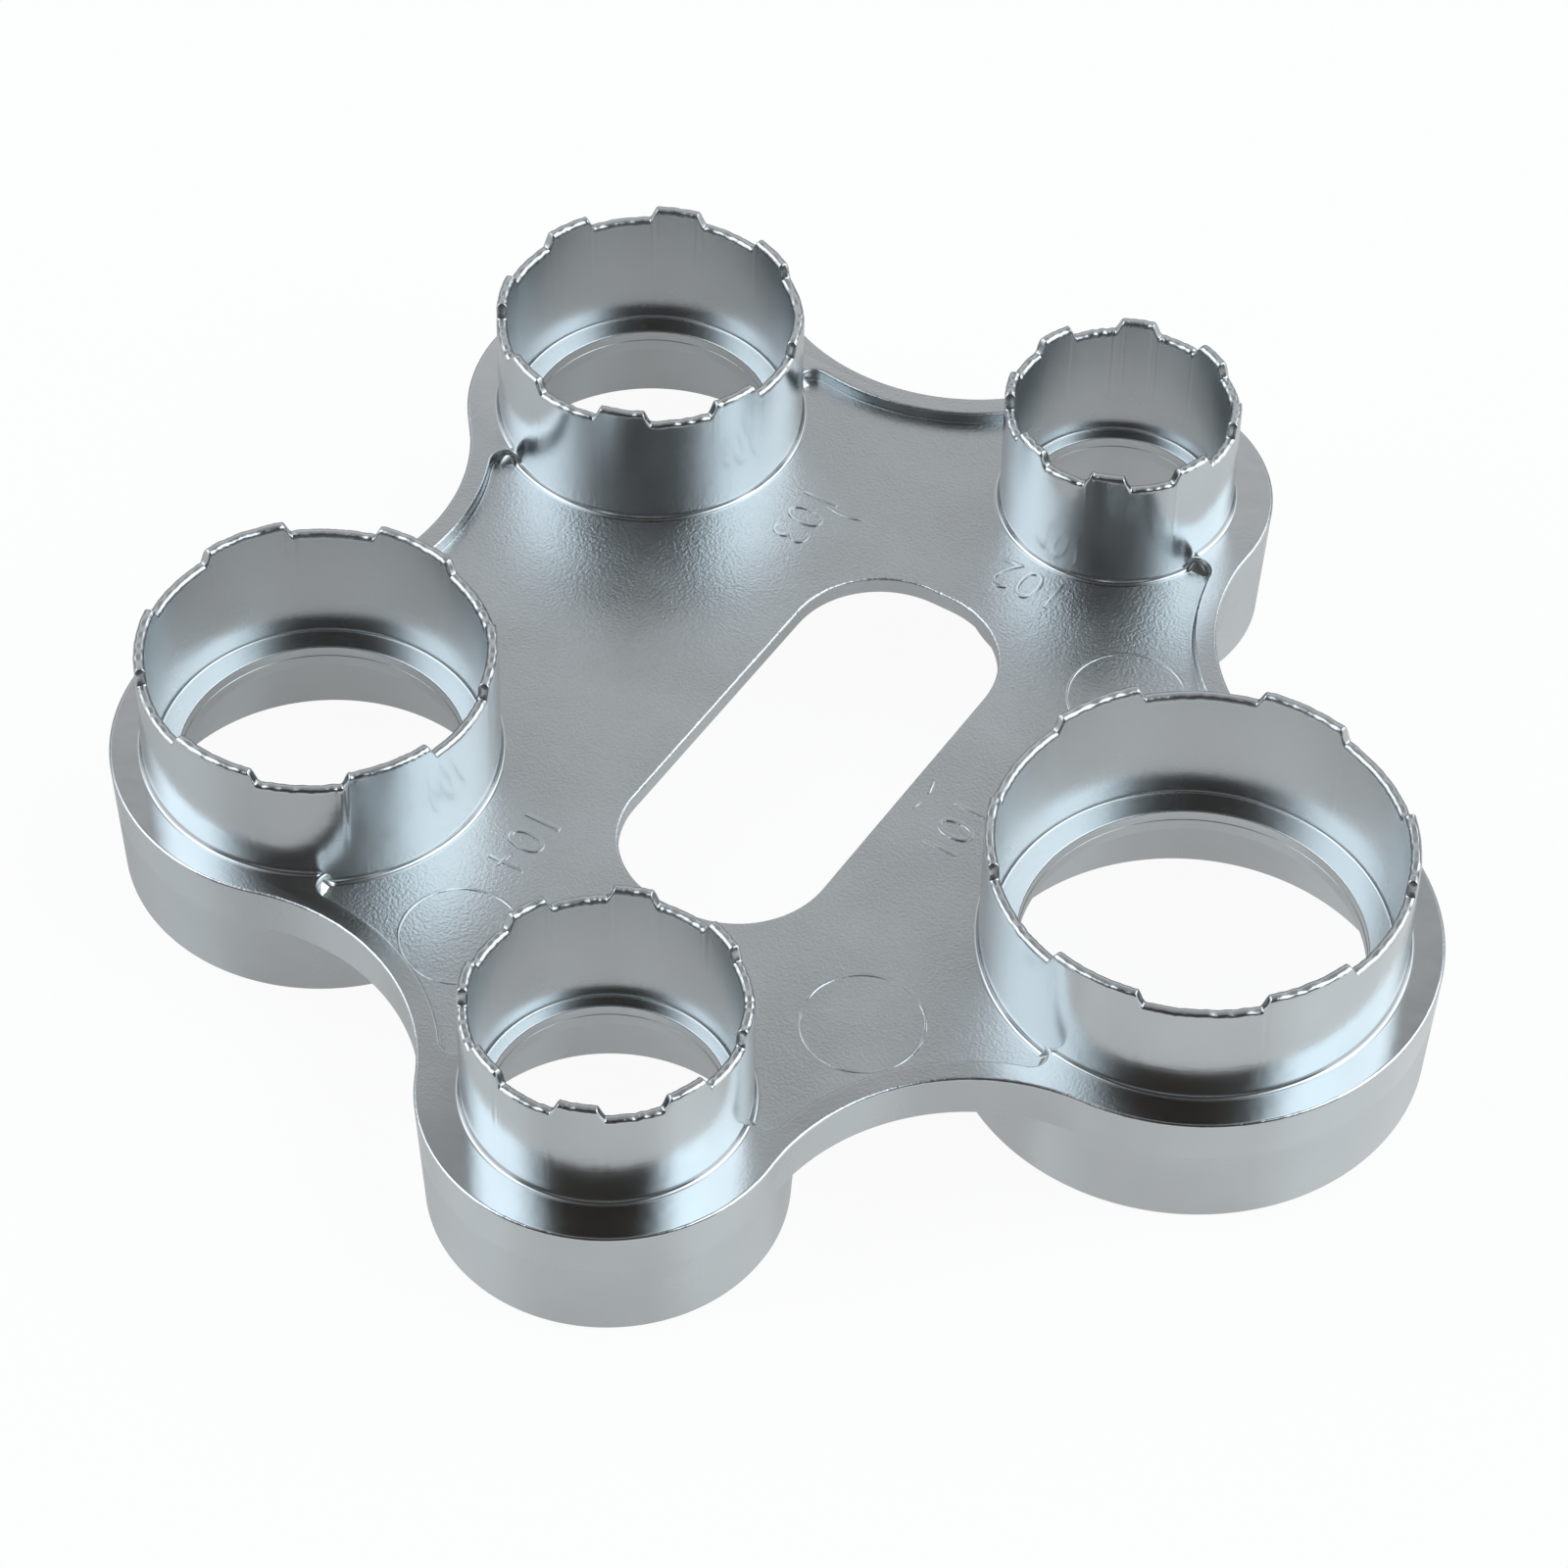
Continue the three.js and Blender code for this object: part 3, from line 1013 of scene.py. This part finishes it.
    def build_rim(self) -> bpy.types.Object:
        """Carries the rim's section along the plate's edge.

        The outer rows lie inside the outer wall by their first number, and the inner rows lie past the
        inner wall by theirs. Where the deck passes, the inner rows step back into the metal.

        Returns:
            The rim as one closed mesh.
        """
        levels = self.levels
        path = self.edge_path()
        draft = self.sockets[0].boss - self.sockets[0].boss_at(levels.skirt_top)
        toe = self.recess_fillet + FEATHER_WIDTH
        under = self.under_fillet + FEATHER_WIDTH
        top = levels.deck_top + FEATHER_RISE
        bottom = levels.deck_bottom - FEATHER_RISE
        third = (levels.deck_top - levels.deck_bottom) / 3.0
        outer = [
            Corner(self.unseen, levels.shelf),
            Corner(0.0, levels.shelf, self.rim_outer_round, worn=0.4),
            Corner(draft, levels.skirt_top, self.rim_bottom_round, worn=0.3),
            Corner(draft + self.unseen, levels.skirt_top),
        ]
        lower = [
            Corner(-self.unseen, levels.skirt_top),
            Corner(0.0, levels.skirt_top, self.rim_bottom_round, worn=0.3),
            Corner(0.0, bottom, self.under_fillet),
            Corner(under, bottom),
            Corner(under, levels.deck_bottom + third / 2.0),
            Corner(-self.unseen, levels.deck_bottom + third),
        ]
        upper = [
            Corner(-self.unseen, levels.deck_top - third),
            Corner(toe, levels.deck_top - third / 2.0),
            Corner(toe, top),
            Corner(0.0, top, self.recess_fillet),
            Corner(0.0, levels.shelf, self.rim_inner_round, worn=0.4),
            Corner(-self.rim_inner_round - 2.0 * SUPPORT, levels.shelf),
        ]
        grids = []
        sections = []
        sides = (
            (outer, path.outer, -path.outward),
            (lower, path.lower, path.lower_inward),
            (upper, path.upper, path.upper_inward),
        )
        for corners, wall, facing in sides:
            section = round_section(corners, len(wall))
            grids.append(section.carried(wall, facing))
            sections.append(section)
        points = np.concatenate(grids)
        rows, columns = points.shape[:2]
        loops = [[Vector(point) for point in row] for row in (points[0], points[-1])]
        triangles = np.array(tessellate_polygon(loops))
        lid = np.where(triangles < columns, triangles, triangles + (rows - 2) * columns)
        worn = np.repeat(np.concatenate([section.worn for section in sections]), columns)
        faces = [grid_faces(rows, columns, False), lid]
        rim = write_mesh("rim", points.reshape(-1, 3), faces, worn, np.tile(path.satin, rows))
        turn_faces_out(rim)
        return rim

    def slot_path(self) -> tuple[np.ndarray, np.ndarray]:
        """The hand slot's edge: four quarter arcs whose ends join in straight lines.

        Returns:
            Places of the columns, and which way into the metal they face.
        """
        quarter = np.linspace(0.0, TURN / 4.0, self.slot_columns)
        turns = (np.arange(4)[:, None] * TURN / 4.0 + quarter).ravel()
        facing = direction(turns)
        reach = np.array([self.slot_width, self.slot_length]) / 2.0 - self.slot_corner
        signs = np.repeat(np.array([[1, 1], [-1, 1], [-1, -1], [1, -1]]), len(quarter), axis=0)
        return self.slot_middle + signs * reach + facing * self.slot_corner, facing

    def deck_border(self) -> np.ndarray:
        """The deck's unseen outer edge: along the middle of the rim, and inside the crowns' walls.

        Returns:
            Its points in the plane, socket by socket.
        """
        parts = []
        crown_columns, web_columns = self.border_columns
        for before, socket, after in self.around():
            start = bearing(socket.centre, before.centre)
            finish = bearing(socket.centre, after.centre)
            turn = np.linspace(0.0, left_turn(finish, start), crown_columns)
            parts.append(socket.centre + direction(start - turn) * socket.hidden)
            begin = bearing(after.centre, socket.centre)
            sweep = left_turn(bearing(after.centre, after.second.centre), begin)
            turn = np.linspace(0.0, sweep, web_columns)
            parts.append(after.centre + direction(begin - turn) * (after.radius + after.rim / 2.0))
        return np.concatenate(parts)

    def build_deck(self) -> bpy.types.Object:
        """The deck: the slot's wall as a section carried round it, and two flats out to the border.

        Returns:
            The deck as one closed mesh.
        """
        levels = self.levels
        edge, facing = self.slot_path()
        border = self.deck_border()
        margin = 2.0 * self.slot_round
        section = round_section(
            [
                Corner(margin, levels.deck_top),
                Corner(0.0, levels.deck_top, self.slot_round, worn=0.7),
                Corner(0.0, levels.deck_bottom, self.slot_round, worn=0.3),
                Corner(margin, levels.deck_bottom),
            ],
            len(edge),
        )
        wall = section.carried(edge, facing)
        rows, columns = wall.shape[:2]
        rims = [
            np.pad(border, ((0, 0), (0, 1)), constant_values=level)
            for level in (levels.deck_top, levels.deck_bottom)
        ]
        vertices = np.concatenate([wall.reshape(-1, 3), *rims])
        outline = [[Vector(point) for point in loop] for loop in (rims[0], wall[0])]
        triangles = np.array(tessellate_polygon(outline))
        count = len(border)
        slot_end = rows * columns
        top = np.where(triangles < count, slot_end + triangles, triangles - count)
        bottom = np.where(
            triangles < count, slot_end + count + triangles, triangles - count + (rows - 1) * columns
        )
        side = slot_end + grid_faces(2, count, False)
        quads = np.concatenate([grid_faces(rows, columns, False), side])
        worn = np.concatenate([np.repeat(section.worn, columns), np.zeros(2 * count)])
        deck = write_mesh("deck", vertices, [quads, top, bottom], worn, np.zeros_like(worn))
        turn_faces_out(deck)
        return deck


@dataclass
class PinRings:
    """Faint raised rings that the mould's round pins left on the deck.

    A place is a ring's x and y in millimetres, the bearing that it starts at and its sweep, in degrees.
    """

    level: float
    places: tuple[tuple[float, float, float, float], ...] = (
        (12.37, -16.15, 0.0, 360.0),
        (12.18, 15.66, 10.0, 340.0),
        (-11.74, -23.69, 40.0, 270.0),
        (-11.7, 23.3, 250.0, 50.0),
        (2.14, 1.53, 336.0, 54.0),
    )
    radius: float = 3.8
    width: float = 0.2
    height: float = 0.08
    sunk: float = 0.02
    root: float = 0.12
    fade: float = 14.0
    evenness: float = 0.75
    uneven_waves: tuple[int, int] = (3, 12)
    tallest: float = 1.2
    roundness: float = 0.9
    worn: float = 0.3
    section_points: int = 7
    columns: int = 120

    def build(self) -> bpy.types.Object:
        """Carries a low round section along each ring, sinking into the deck where the ring fades.

        Returns:
            All the rings as one mesh of closed parts.
        """
        across = np.linspace(-1.0, 1.0, self.section_points)
        profile = np.concatenate([np.sqrt(1.0 - self.roundness * across**2), [-1.0]])
        side = np.concatenate([across, [0.0]]) * self.width / 2.0
        rows = len(profile)
        vertices = []
        quads = []
        caps = []
        for number, (x, y, start, sweep) in enumerate(self.places):
            whole = sweep >= 360.0
            share = np.linspace(0.0, 1.0, self.columns, endpoint=not whole)
            turn = np.radians(start + sweep * share)
            edge = np.minimum(share, 1.0 - share) * sweep
            fade = np.ones_like(turn) if whole else smoothstep(edge / self.fade)
            waves = ripple(turn, self.uneven_waves, number)
            uneven = self.evenness + (1.0 - self.evenness) * waves
            rise = self.height * np.clip(fade * uneven, 0.0, self.tallest) - self.sunk
            height = np.where(profile[:, None] > 0.0, profile[:, None] * rise, -self.root)
            plan = np.array([x, y]) + (self.radius + side)[:, None, None] * direction(turn)
            first = rows * self.columns * number
            ring = np.concatenate([plan, (self.level + height)[..., None]], axis=-1)
            vertices.append(ring.reshape(-1, 3))
            quads.append(first + grid_faces(rows, self.columns, True, whole))
            if not whole:
                ends = first + np.arange(rows) * self.columns
                caps += [ends, ends + self.columns - 1]
        joined = np.concatenate(vertices)
        worn = np.full(len(joined), self.worn)
        faces = [np.concatenate(quads), np.array(caps)]
        rings = write_mesh("pin_rings", joined, faces, worn, np.zeros_like(worn))
        turn_faces_out(rings)
        return rings


@dataclass
class PositionNumbers:
    """Small raised numbers on the deck beside four of the sockets.

    A place is a number's text, its x and y in millimetres and how far it is turned, in degrees.
    """

    level: float
    places: tuple[tuple[str, float, float, float], ...] = (
        ("101", 9.1, 0.2, 90.0),
        ("102", 1.9, 20.9, 180.0),
        ("103", -13.6, 18.15, -90.0),
        ("104", -12.9, -15.1, -90.0),
    )
    size: float = 3.7
    rise: float = 0.055
    bevel: float = 0.03
    thinned: float = -0.06
    bevel_steps: int = 2
    worn: float = 0.2

    def build(self) -> list[bpy.types.Object]:
        """Makes each number from text, turned into a mesh and moved to its place.

        Returns:
            One closed piece for each number.
        """
        pieces = []
        for text, x, y, turn in self.places:
            letters = bpy.data.curves.new(f"number_{text}", "FONT")
            letters.body = text
            letters.size = self.size * MM
            letters.align_x = "CENTER"
            letters.align_y = "CENTER"
            letters.offset = self.thinned * MM
            letters.extrude = self.rise * MM
            letters.bevel_depth = self.bevel * MM
            letters.bevel_resolution = self.bevel_steps
            writer = bpy.data.objects.new("writer", letters)
            bpy.context.scene.collection.objects.link(writer)
            written = writer.evaluated_get(bpy.context.evaluated_depsgraph_get())
            mesh = bpy.data.meshes.new_from_object(written)
            bpy.data.objects.remove(writer)
            bpy.data.curves.remove(letters)
            place = Matrix.Translation(Vector((x, y, self.level)) * MM)
            mesh.transform(place @ Matrix.Rotation(math.radians(turn), 4, "Z"))
            worn = np.full(len(mesh.vertices), self.worn)
            mesh.attributes.new("worn", "FLOAT", "POINT").data.foreach_set("value", worn)
            piece = place_mesh(f"number_{text}", mesh)
            turn_faces_out(piece)
            pieces.append(piece)
        return pieces


@dataclass(frozen=True)
class PhotoCamera:
    """The photograph's viewpoint: a long lens that looks down at the wrench, slightly rolled."""

    target: tuple[float, float, float] = (-5.93, 3.97, 0.0)
    azimuth: float = 31.67
    elevation: float = 47.8907
    roll: float = 1.18342
    distance: float = 378.736
    lens: float = 135.54
    sensor: float = 36.0
    nearest: float = 10.0

    def towards(self, turn: float = 0.0, elevation: float | None = None) -> np.ndarray:
        """Unit vector from the wrench to the camera, or to a place turned away from it.

        Args:
            turn: degrees to turn to the right, as the camera sees it.
            elevation: degrees above the floor, or None for the camera's own.

        Returns:
            The unit vector.
        """
        azimuth = math.radians(self.azimuth + turn)
        elevation = math.radians(self.elevation if elevation is None else elevation)
        level = math.cos(elevation)
        return np.array([math.sin(azimuth) * level, -math.cos(azimuth) * level, math.sin(elevation)])

    def build(self) -> None:
        """Makes the camera and gives it to the scene."""
        camera = bpy.data.cameras.new("photo_camera")
        camera.lens = self.lens
        camera.sensor_width = self.sensor
        camera.clip_start = self.nearest * MM
        eye = bpy.data.objects.new("photo_camera", camera)
        back = Vector(self.towards())
        right = Vector((0.0, 0.0, 1.0)).cross(back).normalized()
        up = back.cross(right)
        upright = Matrix((right, up, back)).transposed()
        turned = Matrix.Rotation(math.radians(self.roll), 3, back) @ upright
        place = Matrix.Translation((Vector(self.target) + back * self.distance) * MM)
        eye.matrix_world = place @ turned.to_4x4()
        bpy.context.scene.collection.objects.link(eye)
        bpy.context.scene.camera = eye


@dataclass(frozen=True)
class SoftBox:
    """A soft-edged field of light in the surroundings.

    Turns are in degrees to the right of the camera, as it sees the wrench, and heights in degrees above
    the floor. Soft and fade are half the widths of its upright and level edges.
    """

    left: float
    right: float
    low: float
    high: float
    colour: tuple[float, float, float]
    soft: float = 6.0
    fade: float = 6.0


BOXES = (
    SoftBox(47.0, 92.0, 30.0, 66.0, (2.2, 2.5, 2.65), soft=16.0),
    SoftBox(92.0, 140.0, 30.0, 66.0, (2.0, 2.2, 2.3), soft=16.0),
    SoftBox(-128.0, -60.0, 30.0, 66.0, (2.1, 2.35, 2.5), soft=20.0),
    SoftBox(140.0, 232.0, 26.0, 47.0, (0.7, 0.71, 0.72), soft=17.0),
    SoftBox(140.0, 232.0, 47.0, 66.0, (0.34, 0.345, 0.35), soft=17.0),
    SoftBox(-60.0, 47.0, 33.0, 64.0, (0.04, 0.028, 0.02), soft=17.0),
    SoftBox(-60.0, 60.0, 0.0, 33.0, (0.1, 0.101, 0.103)),
    SoftBox(-90.0, 90.0, 64.0, 100.0, (0.08, 0.081, 0.083)),
    SoftBox(60.0, 120.0, 0.0, 30.0, (1.3, 1.33, 1.35)),
    SoftBox(-120.0, -60.0, 0.0, 30.0, (1.15, 1.17, 1.19)),
    SoftBox(120.0, 240.0, 0.0, 26.0, (0.3, 0.32, 0.34)),
    SoftBox(90.0, 270.0, 66.0, 100.0, (0.3, 0.3, 0.295)),
)


@dataclass(frozen=True)
class Studio:
    """Pale floor among soft boxes of light, with a dark gap round the place of the camera. The floor as the
    metal sees it carries painted light, brighter towards one side.
    """

    camera: PhotoCamera
    boxes: tuple[SoftBox, ...] = BOXES
    floor_size: float = 1600.0
    floor_drop: float = 0.02
    floor_colour: tuple[float, float, float, float] = (0.92, 0.92, 0.92, 1.0)
    floor_white: float = 0.94
    floor_pale: float = 0.85
    floor_dim: tuple[float, float, float, float] = (0.43, 0.435, 0.43, 1.0)
    floor_bright: tuple[float, float, float, float] = (0.68, 0.685, 0.68, 1.0)
    bright_side: float = 45.0
    bright_reach: float = 40.0
    floor_sheen: float = 0.085
    sheen_roughness: float = 0.2

    def build_floor(self) -> None:
        """Makes the floor: white to the camera, pale in the metal with a painted pool of light brighter
        towards the front right, shadowed, and clear from below.
        """
        corners = np.array([[-1, -1], [1, -1], [1, 1], [-1, 1]]) * self.floor_size / 2.0
        corners = np.pad(corners, ((0, 0), (0, 1)), constant_values=-self.floor_drop)
        mesh = bpy.data.meshes.new("floor")
        mesh.from_pydata((corners * MM).tolist(), [], [(0, 1, 2, 3)])
        floor = bpy.data.objects.new("floor", mesh)
        bpy.context.scene.collection.objects.link(floor)
        material = bpy.data.materials.new("pale_floor")
        material.use_nodes = True
        tree = material.node_tree
        tree.nodes.clear()
        path = add_node(tree, "ShaderNodeLightPath", {}).outputs
        seen = path["Is Camera Ray"]
        mirrored = calculate(tree, "MAXIMUM", path["Is Glossy Ray"], path["Is Transmission Ray"])
        pale = calculate(tree, "MULTIPLY", mirrored, self.floor_pale)
        share = calculate(tree, "MULTIPLY_ADD", seen, self.floor_white, pale)
        place = add_node(tree, "ShaderNodeTexCoord", {}).outputs["Object"]
        # Painted light: the floor as the metal sees it shines from floor_dim to floor_bright across the
        # floor. It is brighter towards the front right, as the camera sees it, and is a painted pool of the
        # soft boxes' light on that side.
        side = self.camera.towards(self.bright_side, 0.0)
        along = add_node(tree, "ShaderNodeVectorMath", {0: place, 1: side}, operation="DOT_PRODUCT")
        reach = self.bright_reach * MM
        painted_light_share = remap(tree, along.outputs["Value"], (-reach, reach), curve="LINEAR")
        painted_floor_light = blend(tree, painted_light_share, self.floor_dim, self.floor_bright)
        shine = {"Color": blend(tree, seen, painted_floor_light, WHITE), "Strength": 1.0}
        sheen = calculate(tree, "MULTIPLY", mirrored, self.floor_sheen)
        polish = {"Color": sheen, "Roughness": self.sheen_roughness}
        paint = add_node(tree, "ShaderNodeBsdfDiffuse", {"Color": self.floor_colour}).outputs[0]
        white = add_node(tree, "ShaderNodeEmission", shine).outputs[0]
        gloss = add_node(tree, "ShaderNodeBsdfGlossy", polish).outputs[0]
        clear = add_node(tree, "ShaderNodeBsdfTransparent", {}).outputs[0]
        behind = add_node(tree, "ShaderNodeNewGeometry", {}).outputs["Backfacing"]
        mixed = add_node(tree, "ShaderNodeMixShader", {0: share, 1: paint, 2: white}).outputs[0]
        both = add_node(tree, "ShaderNodeAddShader", {0: mixed, 1: gloss}).outputs[0]
        surface = add_node(tree, "ShaderNodeMixShader", {0: behind, 1: both, 2: clear}).outputs[0]
        add_node(tree, "ShaderNodeOutputMaterial", {"Surface": surface})
        mesh.materials.append(material)

    def build_world(self) -> None:
        """Makes the surroundings: the sum of the boxes, and white where the camera looks past the floor.

        A box is the product of two masks, one of the turn from its middle and one of the height from its
        middle. Each falls from 1 to 0 in a smooth step across the box's edge.
        """
        world = bpy.data.worlds.new("soft_studio")
        bpy.context.scene.world = world
        world.use_nodes = True
        tree = world.node_tree
        tree.nodes.clear()
        look = add_node(tree, "ShaderNodeTexCoord", {}).outputs["Generated"]
        axes = add_node(tree, "ShaderNodeSeparateXYZ", {0: look}).outputs
        bearing_seen = calculate(tree, "ARCTAN2", axes[0], calculate(tree, "MULTIPLY", axes[1], -1.0))
        height_seen = calculate(tree, "ARCSINE", axes[2])
        light = (0.0, 0.0, 0.0)
        for box in self.boxes:
            middle = math.radians(self.camera.azimuth + (box.left + box.right) / 2.0)
            turned = calculate(tree, "SUBTRACT", bearing_seen, middle)
            wrapped = calculate(tree, "WRAP", turned, math.pi, -math.pi)
            raised = calculate(tree, "SUBTRACT", height_seen, math.radians((box.low + box.high) / 2.0))
            masks = []
            sides = (
                (wrapped, (box.right - box.left) / 2.0, box.soft),
                (raised, (box.high - box.low) / 2.0, box.fade),
            )
            for offset, half, edge in sides:
                ends = (math.radians(half + edge), math.radians(half - edge))
                masks.append(remap(tree, calculate(tree, "ABSOLUTE", offset), ends))
            inputs = {0: calculate(tree, "MULTIPLY", *masks), 1: box.colour, 2: light}
            light = add_node(tree, "ShaderNodeVectorMath", inputs, operation="MULTIPLY_ADD").outputs[0]
        path = add_node(tree, "ShaderNodeLightPath", {}).outputs
        seen = blend(tree, path["Is Camera Ray"], light, WHITE)
        background = add_node(tree, "ShaderNodeBackground", {"Color": seen, "Strength": 1.0})
        add_node(tree, "ShaderNodeOutputWorld", {"Surface": background.outputs[0]})

    def build(self) -> None:
        """Builds the floor and the surroundings."""
        self.build_floor()
        self.build_world()


@dataclass
class Wrench:
    """The whole casting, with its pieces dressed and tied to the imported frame."""

    plate: Plate

    def pieces(self) -> list[tuple[bpy.types.Object, Look, list[str]]]:
        """Builds the pieces in order.

        Returns:
            Each piece with its look and the nodes that it stands for.
        """
        names = [socket.name for socket in self.plate.sockets]
        rims = [f"rim_{side}_{name}" for name in names for side in ("upper", "lower")]
        level = self.plate.levels.deck_top
        built = [
            (self.plate.build_rim(), Look.RIM, rims),
            (self.plate.build_deck(), Look.DECK, [f"deck_{name}" for name in names]),
        ]
        for socket in self.plate.sockets:
            nodes = [f"crown_{socket.name}", f"skirt_{socket.name}"]
            built.append((socket.build(), Look.SOCKET, nodes))
        built.append((PinRings(level).build(), Look.MARK, []))
        built += [(piece, Look.MARK, []) for piece in PositionNumbers(level).build()]
        return built

    def build(self) -> None:
        """Builds and dresses every piece, and ties it to the casting's body."""
        grain = cast_grain_group()
        wear = edge_wear_group()
        materials = {finish.look: finish.material(grain, wear) for finish in FINISHES}
        for piece, look, nodes in self.pieces():
            piece.data.materials.append(materials[look])
            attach(piece, BODY)
            if nodes:
                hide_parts(*nodes)
            faces = len(piece.data.polygons)
            LOG.info("%s: %d faces, stands for %s", piece.name, faces, nodes or "no node")


def main() -> None:
    """Builds the wrench, its studio and its camera."""
    logging.basicConfig(level=logging.INFO, format="%(name)s: %(message)s")
    bpy.context.scene.view_settings.view_transform = "Standard"
    camera = PhotoCamera()
    camera.build()
    sockets = [
        Socket.from_frame("m28", ledge_width=1.65, teeth=6, tooth_width=5.7, seed=28),
        Socket.from_frame("m16_5", ledge_width=0.85, teeth=8, tooth_width=2.3, seed=16),
        Socket.from_frame("m21_5", ledge_width=1.4, teeth=8, tooth_width=3.0, seed=21),
        Socket.from_frame("m24", ledge_width=1.5, teeth=6, tooth_width=5.5, seed=24),
        Socket.from_frame("m18_5", ledge_width=0.85, teeth=8, tooth_width=2.5, seed=18),
    ]
    Wrench(Plate(sockets, slot_middle=np.array([-2.3, 1.2]))).build()
    Studio(camera).build()


if __name__ == "__main__":
    main()
